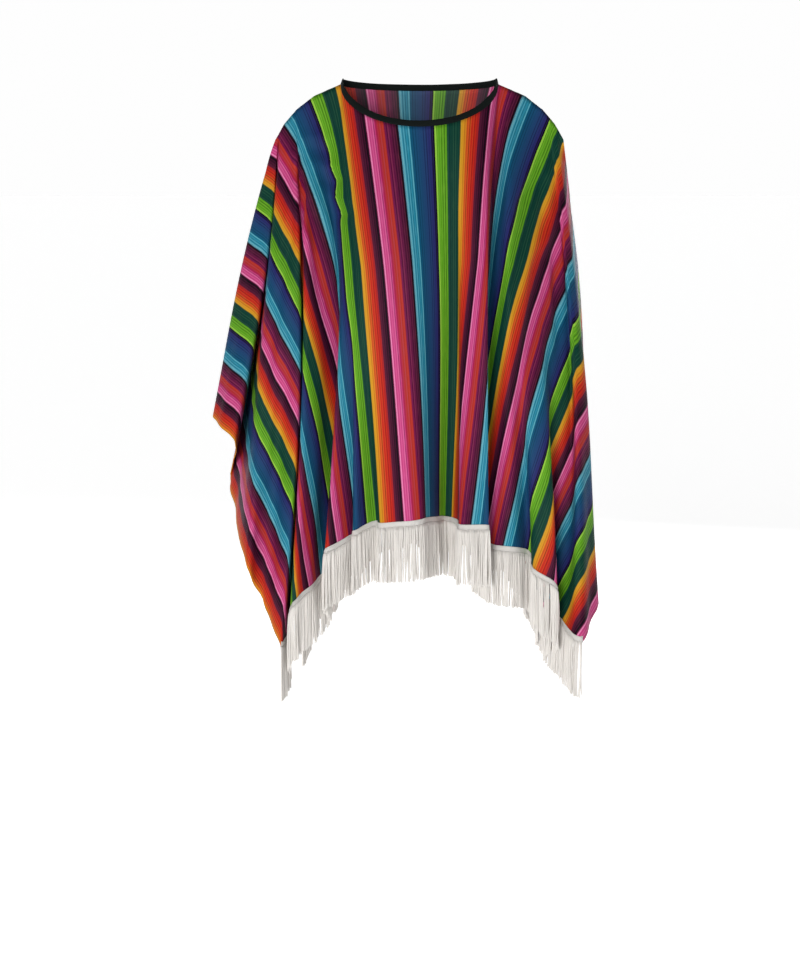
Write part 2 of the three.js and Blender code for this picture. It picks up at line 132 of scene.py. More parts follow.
# The folds from the left shoulder tip to the right one. A station is (u, v, x, y): a point of
# the cut, and where it hangs in plan. Its height follows from the length of cloth above it.
# A long fold has its mark on the shoulder line and a station at the chest and at the edge.
# A late one opens at that share of the drop, and has only a station at the edge.
LONG_FOLDS = {
    # name: mark, softness, front chest, front edge, back chest, back edge
    "left tip": (-268, 0.35, (-292, 0, -252, 15), (-750, 0, -363, -40),
                 (-292, 0, -252, 15), (-750, 0, -363, -40)),
    "left wing tuck": (-262, 0.3, (-388, 80, -248, -28), (-750, 192, -303, -100),
                       (-390, 48, -238, 40), (-750, 156, -275, 145)),
    "left wing flap": (-257, 0.3, (-388, 112, -250, 2), (-750, 353, -331, 15),
                       (-385, 95, -240, 16), (-750, 311, -285, 25)),
    "left wing ridge": (-247, 0.3, (-388, 171, -250, -62), (-750, 568, -290, -165),
                        (-380, 150, -222, 76), (-750, 467, -240, 125)),
    "left corner": (-222, 0.25, (-380, 305, -196, -112), (-750, HEM, -230, -169),
                    (-370, 240, -200, 70), (-750, HEM, -205, 100)),
    "left slit": (-212, 0.3, (-358, 312, -194, -86), (-665, HEM, -221, -98),
                  (-350, 280, -186, 108), (-600, HEM, -195, 212)),
    "left ridge": (-202, 0.3, (-325, 325, -190, -122), (-580, HEM, -216, -182),
                   (-300, 270, -165, 74), (-450, HEM, -150, 90)),
    "left trough": (-172, 0.3, (-240, 355, -130, -82), (-400, HEM, -148, -92),
                    (-222, 300, -140, 132), (-350, HEM, -122, 184)),
    "left neck ridge": (-129, 0.25, (-200, 372, -131, -122), (-328, HEM, -159, -178),
                        (-180, 290, -112, 102), (-305, HEM, -105, 146)),
    "shallow ridge": (-112, 0.3, (-133, 338, -93, -138), (-138, HEM, -64, -148),
                      (-128, 300, -85, 116), (-125, HEM, -40, 150)),
    "middle swell, left": (-75, 0.4, (-82, 345, -53, -146), (-89, HEM, -24, -172),
                           (-82, 300, -55, 140), (-75, HEM, -15, 188)),
    "middle swell, right": (-38, 0.35, (-45, 340, -19, -152), (-45, HEM, 12, -162),
                            (-45, 300, -28, 114), (-10, HEM, 5, 136)),
    "middle valley": (28, 0.35, (38, 340, 42, -122), (45, HEM, 41, -82),
                      (32, 300, 22, 138), (60, HEM, 38, 186)),
    "middle valley wall": (52, 0.35, (62, 340, 62, -122), (72, HEM, 62, -84),
                           (60, 300, 40, 120), (100, HEM, 50, 150)),
    "middle ridge": (70, 0.3, (78, 340, 69, -138), (150, HEM, 66, -162),
                     (82, 300, 56, 136), (150, HEM, 75, 188)),
    "right lap ridge": (108, 0.25, (142, 340, 112, -152), (212, HEM, 118, -192),
                        (140, 300, 92, 104), (210, HEM, 98, 136)),
    "right lap tuck": (116, 0.25, (158, 330, 112, -128), (275, HEM, 84, -130),
                       (160, 300, 104, 121), (275, HEM, 112, 192)),
    "right neck ridge": (129, 0.3, (186, 330, 118, -100), (348, HEM, 118, -158),
                         (180, 290, 116, 106), (340, HEM, 130, 136)),
    "right swell": (150, 0.35, (235, 306, 144, -134), (400, HEM, 154, -172),
                    (235, 240, 150, 116), (400, HEM, 152, 188)),
    "right slit": (222, 0.3, (410, 310, 250, -68), (705, HEM, 243, -178),
                   (385, 280, 215, 56), (715, HEM, 218, 150)),
    "right slit lip": (229, 0.3, (435, 313, 253, -82), (732, HEM, 253, -200),
                       (405, 285, 223, 71), (735, HEM, 221, 133)),
    "right corner": (234, 0.15, (437, 293, 255, -78), (750, HEM, 268, -205),
                     (410, 270, 229, 64), (750, HEM, 229, 119)),
    "right wing ridge": (240, 0.3, (437, 270, 269, -58), (750, 685, 302, -140),
                         (415, 240, 243, 93), (750, 654, 260, 205)),
    "right wing hollow": (247, 0.3, (430, 200, 268, -15), (750, 539, 266, -40),
                          (415, 175, 237, 50), (750, 539, 239, 110)),
    "right tip": (268, 0.35, (366, 0, 257, 46), (750, 0, 268, 112),
                  (366, 0, 257, 46), (750, 0, 268, 112)),
}
LATE_FOLDS = {
    # name: the long fold before it, where it opens, softness, front edge, back edge
    "left ripple": ("left wing ridge", 0.45, 0.3, (-750, 674, -262, -120), (-750, 622, -245, 25)),
    "small trough": ("left neck ridge", 0.5, 0.3, (-245, HEM, -104, -130), (-255, HEM, -88, 186)),
    "small ridge": ("left neck ridge", 0.5, 0.3, (-220, HEM, -111, -158), (-215, HEM, -78, 152)),
    "shallow trough": ("left neck ridge", 0.5, 0.3, (-160, HEM, -69, -122), (-170, HEM, -60, 186)),
    "right trough": ("right swell", 0.5, 0.3, (440, HEM, 185, -136), (460, HEM, 166, 136)),
    "right ridge": ("right swell", 0.5, 0.3, (488, HEM, 190, -176), (505, HEM, 182, 168)),
    "outer ridge": ("right swell", 0.45, 0.3, (546, HEM, 233, -197), (560, HEM, 192, 124)),
    "outer tuck": ("right swell", 0.45, 0.3, (615, HEM, 208, -126), (610, HEM, 200, 160)),
    "outer swell": ("right swell", 0.5, 0.3, (684, HEM, 236, -160), (670, HEM, 210, 118)),
    "right wing flap": ("right wing hollow", 0.14, 0.3, (750, 373, 288, 92), (750, 373, 276, 198)),
    "right wing tuck": ("right wing hollow", 0.14, 0.3, (750, 187, 254, -55), (750, 187, 240, 30)),
}

# Every fold in order, from the left shoulder tip to the right one.
FOLD_NAMES = [
    name
    for long_name in LONG_FOLDS
    for name in (long_name, *(n for n, fold in LATE_FOLDS.items() if fold[0] == long_name))
]

# Kinks where the cloth catches on itself: u, v, half-length, half-width, turn from the fall of
# the cloth in degrees, and height (a ridge) or depth (a trough), in millimetres.
KINKS = [
    (-200, 66, 26, 8, 58, 4.5),
    (-197, 94, 26, 7, 64, -4.5),
    (-196, 124, 32, 8, 56, 6.0),
    (-188, 156, 30, 8, 62, -5.0),
    (-184, 190, 34, 9, 54, 5.0),
    (-176, 226, 32, 9, 60, -4.0),
    (-250, 90, 44, 10, 20, 6.0),
    (-262, 132, 60, 11, 14, -6.0),
    (-240, 176, 60, 11, 12, 5.0),
    (-286, 210, 60, 12, 18, 4.0),
    (262, 92, 36, 10, -24, 5.0),
    (240, 150, 70, 11, -16, -5.0),
    (300, 210, 70, 12, -20, 4.5),
    (212, 230, 90, 13, -8, 3.5),
    (60, 190, 120, 14, -4, 2.4),
    (-60, 230, 130, 15, 4, 2.4),
    (-150, 300, 110, 13, 8, -2.6),
    (110, 330, 120, 13, -6, -2.6),
    (-180, -120, 60, 10, 24, 5.0),
    (-230, -190, 90, 12, 16, -5.0),
    (196, -110, 60, 10, -22, 5.0),
    (250, -200, 90, 12, -14, -5.0),
    (-40, -160, 130, 16, 3, 3.0),
    (84, -240, 140, 15, -5, -3.0),
    (-296, 150, 110, 12, -28, 6.0),
    (-326, 236, 140, 14, -34, -6.5),
    (-366, 190, 120, 12, -44, 6.0),
    (-430, 262, 160, 16, -46, -6.0),
    (-274, 268, 150, 13, -12, -6.0),
    (-246, 330, 160, 14, -8, 6.0),
    (-520, 380, 180, 18, -46, 7.0),
    (302, 190, 130, 13, 24, 5.5),
    (352, 270, 160, 14, 32, -6.0),
    (286, 318, 160, 14, 10, 5.5),
    (460, 330, 170, 17, 42, 6.0),
    (-310, -190, 130, 13, 30, 6.0),
    (-400, -280, 170, 15, 42, -6.0),
    (-262, -300, 160, 14, 10, 5.5),
    (322, -210, 140, 13, -28, -6.0),
    (412, -300, 170, 16, -42, 6.0),
    (236, -330, 170, 14, -8, 5.0),
]

# The serape stripes in one repeat: the share of it where each starts, its colour there, the
# colour that it has run into where the next one starts, that of the fine lines on it, and the
# width of a line of that colour along its first edge. Then the fine lines in one repeat, and
# how much of it two neighbouring stripes take to blend.
STRIPES = [
    (0.000, "leaf_green", "leaf_green", "pale_green", 0.012),
    (0.101, "bottle_green", "bottle_green", "grey_green", 0.0),
    (0.213, "gold", "amber", "gold", 0.0),
    (0.262, "orange", "orange", "amber", 0.0),
    (0.300, "red", "red", "orange", 0.0),
    (0.345, "red", "plum", "red", 0.0),
    (0.372, "plum", "night", "violet", 0.0),
    (0.432, "night", "night", "plum", 0.0),
    (0.452, "pink", "pink", "pale_pink", 0.012),
    (0.528, "magenta", "brick", "rose", 0.0),
    (0.565, "brick", "brick", "rose", 0.0),
    (0.602, "violet", "mulberry", "rose", 0.0),
    (0.698, "night", "night", "plum", 0.0),
    (0.7156, "turquoise", "turquoise", "pale_blue", 0.014),
    (0.8067, "teal", "navy", "steel", 0.0),
    (0.975, "night", "night", "navy", 0.0),
]
FINE_LINES = 48
STRIPE_BLEND = 0.004

# Down one strand: the share of its length and the share of its radius at each ring.
STRAND_RINGS = [
    (0.0, 1.0), (0.08, 1.0), (0.22, 1.0), (0.4, 1.0), (0.59, 1.0), (0.78, 1.0), (0.985, 1.0),
    (1.0, 0.55),
]
STRAND_SIDES = 6


def from_srgb(red, green, blue):
    """A colour mixed on a screen, as the light that it reflects."""
    channels = [c / 12.92 if c <= 0.04045 else ((c + 0.055) / 1.055) ** 2.4
                for c in (red / 255, green / 255, blue / 255)]
    return (*channels, 1.0)


def colour(label, text, red, green, blue):
    return bpy.props.FloatVectorProperty(
        name=label, description=text, subtype="COLOR", size=4, min=0.0, max=1.0,
        default=from_srgb(red, green, blue),
    )


def length(label, text, default):
    return bpy.props.FloatProperty(name=label, description=text, default=default, unit="LENGTH")


class PonchoSizes(bpy.types.PropertyGroup):
    cloth_thickness: length("Cloth thickness", "Thickness of the striped cloth", 0.0009)
    ripple: length("Ripple", "Height of the shallow ripples between the folds", 0.0023)
    stripe_repeat: length("Stripe repeat", "Width after which the stripes start again", 0.2057)
    stripe_start: length("Stripe start", "Where a green stripe starts, from the middle", 0.0237)
    binding_width: length("Binding width", "How far the neck binding stands past the cloth", 0.010)
    binding_thickness: length("Binding thickness", "Thickness of the folded binding", 0.0022)
    header_width: length("Header width", "Width of the fringe's woven band", 0.010)
    header_thickness: length("Header thickness", "Thickness of the fringe's woven band", 0.0010)
    strand_length: length("Strand length", "Length of the fringe below its header", 0.094)
    strand_radius: length("Strand radius", "Radius of a strand", 0.00098)
    strand_count: bpy.props.IntProperty(
        name="Strands", description="Strands along each hem, in each of two rows",
        default=540, min=10, max=900,
    )


class PonchoColours(bpy.types.PropertyGroup):
    leaf_green: colour("Leaf green", "Green stripe", 82, 144, 26)
    bottle_green: colour("Bottle green", "Dark green stripe", 10, 56, 46)
    gold: colour("Gold", "Start of the warm stripe", 203, 152, 38)
    amber: colour("Amber", "Middle of the warm stripe", 200, 116, 30)
    orange: colour("Orange", "End of the golden stripe", 194, 74, 30)
    red: colour("Red", "Red stripe", 180, 36, 26)
    plum: colour("Plum", "Dark stripe after the red", 80, 24, 50)
    night: colour("Night", "Thin dark lines", 15, 5, 15)
    pink: colour("Pink", "Pink stripe", 188, 62, 120)
    magenta: colour("Magenta", "Edge of the pink stripe", 158, 26, 78)
    brick: colour("Brick", "Stripe after the pink", 174, 48, 36)
    violet: colour("Violet", "Start of the purple stripe", 108, 20, 70)
    mulberry: colour("Mulberry", "End of the purple stripe", 48, 12, 36)
    turquoise: colour("Turquoise", "Turquoise stripe", 38, 126, 150)
    teal: colour("Teal", "Start of the blue stripe", 10, 78, 108)
    navy: colour("Navy", "End of the blue stripe", 40, 36, 96)
    pale_green: colour("Pale green", "Lines on the green", 150, 200, 70)
    grey_green: colour("Grey green", "Lines on the dark green", 52, 92, 62)
    rose: colour("Rose", "Lines on the reds and purples", 146, 60, 84)
    pale_pink: colour("Pale pink", "Lines on the pink", 226, 140, 180)
    pale_blue: colour("Pale blue", "Lines on the turquoise", 130, 200, 212)
    steel: colour("Steel", "Lines on the blues", 26, 70, 108)
    binding: colour("Binding", "Neck binding", 5, 9, 8)
    fringe: colour("Fringe", "Header and strands", 236, 231, 225)
    floor: colour("Floor", "Floor", 248, 248, 248)


# --- How the cloth hangs -------------------------------------------------------------------


def unit(vectors):
    """The vectors at length one."""
    return vectors / np.maximum(np.linalg.norm(vectors, axis=-1, keepdims=True), 1e-12)


def run_along(line):
    """How far along a line each of its points is."""
    return np.concatenate([[0], np.cumsum(np.linalg.norm(np.diff(line, axis=0), axis=1))])


def closed(values, axis=1):
    """A ring with its first value repeated at its end."""
    return np.concatenate([values, np.take(values, [0], axis)], axis)


def neck_drop(mark, side):
    """The neck hole is half an ellipse in front and half a flatter one behind."""
    share = min(1.0, abs(mark) / NECK_HALF_WIDTH)
    return NECK_DROP[side] * math.sqrt(1 - share * share)


def top_place(mark, side):
    """A mark on the shoulder line or on the neck edge: its place on the cut and in space."""
    across = abs(mark)
    x = math.copysign(np.interp(across, SHOULDER[:, 0], SHOULDER[:, 1]), mark)
    if across >= NECK_HALF_WIDTH:
        z = np.interp(across, SHOULDER[:, 0], SHOULDER[:, 2])
        return np.array([mark, 0.0]), np.array([x, SHOULDER_Y, z])
    v = neck_drop(mark, side)
    run, fall = NECK_LEAN[side]
    return np.array([mark, v]), np.array([x, SHOULDER_Y + run * v, fall * v])


def hang_share(flat):
    share = np.interp(flat[0], HANG_SHARES[:, 0], HANG_SHARES[:, 1])
    if abs(flat[0]) < HALF_WIDTH:
        return share
    full = HANG_SHARES[2, 1]
    return full - (full - share) * (flat[1] / HEM) ** 2


def hang_from(start, place, reach):
    """The point below start that hangs at a place in plan on a length of cloth."""
    dx, dy = place[0] - start[0], place[1] - start[1]
    return np.array([place[0], place[1], start[2] - math.sqrt(reach**2 - dx**2 - dy**2)])


def hermite(a, b, slope_a, slope_b, span, s):
    s = s[:, None]
    return (
        a * (2 * s**3 - 3 * s**2 + 1)
        + slope_a * span * (s**3 - 2 * s**2 + s)
        + b * (3 * s**2 - 2 * s**3)
        + slope_b * span * (s**3 - s**2)
    )


def long_line(mark, chest, edge, side, shares):
    """One long fold's line: its points on the cut and in space, at shares of its length."""
    flat_top, top = top_place(mark, side)
    flat_chest, flat_edge = np.array(chest[:2], float), np.array(edge[:2], float)
    upper = np.linalg.norm(flat_chest - flat_top)
    lower = np.linalg.norm(flat_edge - flat_chest)
    at_chest = hang_from(top, chest[2:], upper * CHEST_SHARE)
    at_edge = hang_from(at_chest, edge[2:], lower * hang_share(flat_edge))
    slope_upper = (at_chest - top) / upper
    slope_lower = (at_edge - at_chest) / lower
    slope_chest = (slope_upper * lower + slope_lower * upper) / (upper + lower)
    run = shares * (upper + lower)
    above = hermite(top, at_chest, 1.5 * slope_upper - 0.5 * slope_chest, slope_chest,
                    upper, np.minimum(run / upper, 1))
    below = hermite(at_chest, at_edge, slope_chest, 1.5 * slope_lower - 0.5 * slope_chest,
                    lower, np.maximum((run - upper) / lower, 0))
    is_above = (run <= upper)[:, None]
    points = np.where(is_above, above, below)
    first = np.clip(run / upper, 0, 1)[:, None]
    second = np.clip((run - upper) / lower, 0, 1)[:, None]
    flats = flat_top + (flat_chest - flat_top) * first + (flat_edge - flat_chest) * second
    return flats, points


def late_line(opens, edge, left, right, shares):
    """A late fold lies between its two long neighbours, and leaves them as it opens."""
    (flats_l, points_l), (flats_r, points_r) = left, right
    flat_edge = np.array(edge[:2], float)
    ends = flats_l[-1], flats_r[-1]
    across = np.linalg.norm(flat_edge - ends[0]) / np.linalg.norm(ends[1] - ends[0])
    flats = flats_l * (1 - across) + flats_r * across
    base = points_l * (1 - across) + points_r * across
    at_open = np.array([np.interp(opens, shares, base[:, k]) for k in range(3)])
    flat_open = np.array([np.interp(opens, shares, flats[:, k]) for k in range(2)])
    reach = np.linalg.norm(flat_edge - flat_open)
    hanging = reach * (1 - (1 - hang_share(flat_edge)) * LATE_SHARE)
    shift = hang_from(at_open, edge[2:], hanging) - base[-1]
    run = np.clip((shares - opens) / (1 - opens), 0, 1)[:, None]
    eased = run * run * (3 - 2 * run)
    return flats, base + shift * (eased + (run - eased) * STRAIGHT_OPENING)


def side_lines(side, shares):
    """The marks, softnesses, cut points and hanging points of one side's folds."""
    column = 2 if side == "front" else 4
    names = list(LONG_FOLDS)
    lines = {n: long_line(LONG_FOLDS[n][0], *LONG_FOLDS[n][column:column + 2], side, shares)
             for n in names}
    out = []
    for name, following in zip(names, names[1:] + [None]):
        mark, softness = LONG_FOLDS[name][:2]
        out.append((mark, softness, *lines[name]))
        late = [f for f in LATE_FOLDS.values() if f[0] == name]
        for i, (_, opens, late_softness, front_edge, back_edge) in enumerate(late):
            edge = front_edge if side == "front" else back_edge
            place = mark + (LONG_FOLDS[following][0] - mark) * (i + 1) / (len(late) + 1)
            line = late_line(opens, edge, lines[name], lines[following], shares)
            out.append((place, late_softness, *line))
    return out


class Ring:
    """The folds as a ring: the front from left to right, then the back from right to left."""

    def __init__(self, shares):
        front, back = side_lines("front", shares), side_lines("back", shares)
        self.right_tip = len(front) - 1
        ring = front + back[1:-1][::-1]
        self.shares = shares
        self.count = len(ring)
        self.marks = np.array([line[0] for line in ring], float)
        self.softness = np.array([line[1] for line in ring])
        # Five numbers at each point of a fold: where it hangs, then its place on the cut.
        self.lines = np.stack([np.concatenate([line[3], line[2]], 1) for line in ring], 1)
        self.lines[:, self.right_tip + 1:, 4] *= -1
        self.lines[:, [0, self.right_tip], 4] = 0

    def columns(self, widest):
        """Places in the ring, closer together where the folds are, and none wider apart."""
        places = []
        for i in range(self.count):
            edge = self.lines[-1, (i + 1) % self.count] - self.lines[-1, i]
            steps = max(4, math.ceil(np.linalg.norm(edge[3:]) / widest))
            places += [i + k / steps for k in range(steps)]
        return np.array(places)

    def between(self, a, b, share):
        return self.lines[:, a] * (1 - share) + self.lines[:, b] * share

    def rounded(self, before, corner, after, f):
        """The line at f from a fold whose corner is turned by a quadratic arc."""
        softness = self.softness[corner]
        s = (f + softness) / (2 * softness)
        a, b = self.between(corner, before, softness), self.between(corner, after, softness)
        return a * (1 - s) ** 2 + self.lines[:, corner] * (2 * s * (1 - s)) + b * s**2

    def at(self, column):
        """The cut points and the hanging points of one column, at every share of the drop."""
        i = int(column) % self.count
        f = column - int(column)
        after = (i + 1) % self.count
        straight = self.between(i, after, f)
        bent = straight
        if f < self.softness[i]:
            bent = self.rounded(i - 1, i, after, f)
        elif f > 1 - self.softness[after]:
            bent = self.rounded(i, after, (after + 1) % self.count, f - 1)
        rounding = np.minimum(1, self.shares / ROUNDING_START)[:, None]
        line = straight * (1 - rounding) + bent * rounding
        points, flats = line[:, :3], line[:, 3:]
        # Between two marks the top edge keeps to the shoulder line or the neck curve.
        side = "front" if column <= self.right_tip else "back"
        mark = self.marks[i] * (1 - f) + self.marks[after] * f
        flat_top, top = top_place(mark, side)
        if side == "back":
            flat_top = flat_top * (1, -1)
        blend = (np.maximum(0, 1 - self.shares / NECK_BLEND) ** 2)[:, None]
        return flats + (flat_top - flats[0]) * blend, points + (top - points[0]) * blend


def surface_normals(points):
    """The outward direction at each point of a ring of columns, for its rows down each."""
    along = np.roll(points, -1, 1) - np.roll(points, 1, 1)
    down = np.gradient(points, axis=0)
    return unit(np.cross(down, along))


def ripples(shares, reach, seed):
    """Shallow uneven waves that run down the cloth and deepen towards its edge."""
    rng = np.random.default_rng(seed)
    total = reach[-1]
    field = np.zeros((len(shares), len(reach)))
    for _ in range(RIPPLE_LAYERS):
        waves = rng.integers(*RIPPLE_WAVES)
        drift = rng.uniform(-2.5, 2.5)
        fade = rng.uniform(1.5, 5.0)
        phase, beat = rng.uniform(0, 2 * math.pi, 2)
        down = np.sin(shares * fade + beat)[:, None]
        across = 2 * math.pi * waves * reach[None, :] / total + phase + drift * shares[:, None]
        field += np.sin(across) * down * (30 / waves)
    field /= field.std()
    return field * (0.15 + 0.85 * shares[:, None])


def spread(flats):
    """How far the columns have spread at each row, as a share of their width at the edge."""
    width = np.linalg.norm(np.roll(flats, -1, 1) - np.roll(flats, 1, 1), axis=2)
    return np.minimum(1, width / np.maximum(width[-1:], 1e-6))


def kinked(flats):
    """The height of the kinks at points of the cut."""
    height = np.zeros(flats.shape[:2])
    for u, v, long_half, wide_half, turn, rise in KINKS:
        angle = math.radians(turn)
        du, dv = flats[..., 0] - u, flats[..., 1] - v
        along = du * math.sin(angle) + dv * math.cos(angle)
        across = du * math.cos(angle) - dv * math.sin(angle)
        height += rise * np.exp(-((along / long_half) ** 2) - (across / wide_half) ** 2)
    return height


def widened(values, reach, pick):
    """Each value picked from its neighbours within reach, round the ring and down the rows."""
    around = [np.roll(values, k, 1) for k in range(-reach, reach + 1)]
    values = pick(np.stack(around), 0)
    padded = np.pad(values, ((reach, reach), (0, 0)), "edge")
    rows = len(values)
    return pick(np.stack([padded[k:k + rows] for k in range(2 * reach + 1)]), 0)


def grid_bmesh(points):
    """A grid shaped by rows and columns of points, and the row and column of each vertex."""
    rows, columns = points.shape[:2]
    bm = bmesh.new()
    bmesh.ops.create_grid(bm, x_segments=columns - 1, y_segments=rows - 1, size=1.0)
    place = {}
    for vert in bm.verts:
        column = round((vert.co.x + 1) / 2 * (columns - 1))
        row = round((1 - vert.co.y) / 2 * (rows - 1))
        place[vert.index] = (row, column)
        vert.co = points[row, column]
    return bm, place


def clearances(points, normals):
    """How far each point is from other cloth in front of it or behind it."""
    rows, columns = points.shape[:2]
    bm, _ = grid_bmesh(closed(points))
    tree = BVHTree.FromBMesh(bm)
    bm.free()
    out = np.full(rows * columns, ROOM_LIMIT)
    for i, (point, normal) in enumerate(zip(points.reshape(-1, 3), normals.reshape(-1, 3))):
        for way in (normal, -normal):
            # Each ray starts just off the surface.
            hit = tree.ray_cast(Vector(point + way * 0.3), Vector(way), ROOM_LIMIT)
            if hit[0] is not None:
                out[i] = min(out[i], hit[3])
    return widened(widened(out.reshape(rows, columns), 2, np.min), 2, np.mean)


class HungCloth:
    """The middle surface of the cloth, in metres: rows down, columns round the ring."""

    def __init__(self, sizes, rows, widest):
        drop = np.linspace(0, 1, rows)
        ring = Ring(drop)
        self.columns = ring.columns(widest)
        pairs = [ring.at(c) for c in self.columns]
        flats = np.stack([pair[0] for pair in pairs], 1)
        points = np.stack([pair[1] for pair in pairs], 1)
        reach = run_along(closed(flats[-1], 0))
        wave = ripples(drop, reach, 11)[:, :-1] * sizes.ripple / MM
        # Ripples and kinks stay within the room that the folds leave them.
        normals = surface_normals(points)
        room = clearances(points, normals) * LIFT_SHARE + 1e-6
        lift = room * np.tanh((wave * spread(flats) + kinked(flats)) / room)
        lift *= np.clip(drop / LIFT_START, 0, 1)[:, None]
        self.flats = flats * MM
        self.points = (points + normals * lift[..., None]) * MM
        self.normals = surface_normals(self.points)

    def fold_column(self, name, side):
        """The column that runs down a fold, on one side."""
        place = FOLD_NAMES.index(name)
        if side == "back":
            place = 2 * (len(FOLD_NAMES) - 1) - place
        return int(np.argmin(abs(self.columns - place)))

    def hem_columns(self, side):
        """The columns between the corners of one side, in the ring's order."""
        corners = [self.fold_column(f"{hand} corner", side) for hand in ("left", "right")]
        return np.arange(min(corners), max(corners) + 1)

    def neck_columns(self):
        """The neck edge: the front from left to right, then the back from right to left."""
        marks = self.flats[0, :, 0]
        return np.nonzero(np.abs(marks) <= NECK_HALF_WIDTH * MM + 1e-9)[0]


# --- Meshes --------------------------------------------------------------------------------


def placed(name, data):
    """A new object in the scene, at the origin."""
    piece = bpy.data.objects.new(name, data)
    bpy.context.scene.collection.objects.link(piece)
    return piece


def finished(bm, name):
    """The mesh that was built in bm."""
    mesh = bpy.data.meshes.new(name)
    bm.to_mesh(mesh)
    bm.free()
    return mesh


def grid_mesh(name, points, uvs, capped):
    """A smooth mesh over a grid of points, with a UV at each, and caps where it is a tube."""
    bm, place = grid_bmesh(points)
    layer = bm.loops.layers.uv.new("cut")
    for face in bm.faces:
        face.smooth = True
        for loop in face.loops:
            row, column = place[loop.vert.index]
            loop[layer].uv = uvs[row, column]
    bmesh.ops.remove_doubles(bm, verts=bm.verts, dist=1e-6)
    if capped:
        bmesh.ops.holes_fill(bm, edges=[e for e in bm.edges if e.is_boundary], sides=0)
        bmesh.ops.recalc_face_normals(bm, faces=bm.faces[:])
    return finished(bm, name)


def flat_band(name, centre, across, out, run, width, thickness, bluntness, steps):
    """A flat band with rounded edges along a line of centres: a circle drawn out sideways."""
    turn = np.linspace(0, 2 * math.pi, steps + 1)
    side = np.sign(np.cos(turn)) * np.abs(np.cos(turn)) ** bluntness * width / 2
    rise = np.sign(np.sin(turn)) * np.abs(np.sin(turn)) ** 0.7 * thickness / 2
    points = centre + across * side[:, None, None] + out * rise[:, None, None]
    uvs = np.stack(np.broadcast_arrays(run, side[:, None] + width / 2), 2)
    return placed(name, grid_mesh(name, points, uvs, capped=True))


# --- Materials -----------------------------------------------------------------------------


class Value:
    """A socket's value, so that shader maths reads as an expression."""

    def __init__(self, shader, socket):
        self.shader = shader
        self.socket = socket

    def maths(self, operation, *others):
        return self.shader.add("ShaderNodeMath", {"operation": operation}, self, *others)

    def __add__(self, other):
        return self.maths("ADD", other)

    def __sub__(self, other):
        return self.maths("SUBTRACT", other)

    def __mul__(self, other):
        return self.maths("MULTIPLY", other)

    def __truediv__(self, other):
        return self.maths("DIVIDE", other)

    def __pow__(self, other):
        return self.maths("POWER", other)

    def __rsub__(self, other):
        return self.shader.add("ShaderNodeMath", {"operation": "SUBTRACT"}, other, self)

    def __rtruediv__(self, other):
        return self.shader.add("ShaderNodeMath", {"operation": "DIVIDE"}, other, self)

    __radd__ = __add__
    __rmul__ = __mul__

    def sine(self):
        return self.maths("SINE")

    def waves(self, pitch):
        """A sine wave of this length along the value."""
        return (self * (2 * math.pi / pitch)).sine()

    def ridge(self, middle, steepness):
        """One where the value is at the middle, falling to nothing on both sides."""
        return (1 - ((self - middle) * steepness).maths("ABSOLUTE")).positive()

    def fraction(self):
        return self.maths("FRACT")

    def positive(self):
        return self.maths("MAXIMUM", 0.0)

    def output(self, index):
        """Another output of the node that the value comes from."""
        return Value(self.shader, self.socket.node.outputs[index])


class Shader:
    """The nodes of a material or world, added one at a time and joined by their values."""

    def __init__(self, owner, surface="Principled BSDF"):
        self.owner = owner
        owner.use_nodes = True
        self.tree = owner.node_tree
        self.surface = self.tree.nodes[surface]

    def add(self, kind, settings, *values, **named):
        """A node of a kind with its settings, then its sockets in order or by name."""
        node = self.tree.nodes.new(kind)
        for key, value in settings.items():
            if key == "stops":
                self.set_stops(node.color_ramp, value)
            elif key == "steps":
                node.color_ramp.interpolation = "CONSTANT"
            else:
                setattr(node, key, value)
        for socket, value in zip([s for s in node.inputs if s.enabled], values):
            self.feed(socket, value)
        for key, value in named.items():
            self.feed(node.inputs[key.replace("_", " ")], value)
        return Value(self, next(s for s in node.outputs if s.enabled))

    @staticmethod
    def set_stops(ramp, stops):
        while len(ramp.elements) < len(stops):
            ramp.elements.new(1.0)
        for element, (position, shade) in zip(ramp.elements, stops):
            element.position = position
            element.color = shade

    def feed(self, socket, value):
        if isinstance(value, Value):
            self.tree.links.new(value.socket, socket)
        else:
            socket.default_value = value

    def cut(self):
        """The place on the cut: u across and v along, in metres."""
        uv = self.add("ShaderNodeUVMap", {"uv_map": "cut"})
        place = self.add("ShaderNodeSeparateXYZ", {}, uv)
        return uv, place.output(0), place.output(1)

    def stretched(self, vector, scale):
        return self.add("ShaderNodeVectorMath", {"operation": "MULTIPLY"}, vector, scale)

    def noise(self, vector, scale, detail=2.0):
        return self.add("ShaderNodeTexNoise", {"noise_dimensions": "3D"},
                        Vector=vector, Scale=scale, Detail=detail)

    def noise_along(self, value, scale, detail=0.0):
        return self.add("ShaderNodeTexNoise", {"noise_dimensions": "1D"},
                        W=value, Scale=scale, Detail=detail)

    def mix(self, factor, a, b, blend="MIX"):
        settings = {"data_type": "RGBA", "blend_type": blend}
        return self.add("ShaderNodeMix", settings, factor, a, b)

    def bump(self, height, strength, distance):
        normal = self.add("ShaderNodeBump", {}, Strength=strength, Distance=distance,
                          Height=height)
        self.feed(self.surface.inputs["Normal"], normal)

    def set(self, **sockets):
        for key, value in sockets.items():
            self.feed(self.surface.inputs[key.replace("_", " ")], value)


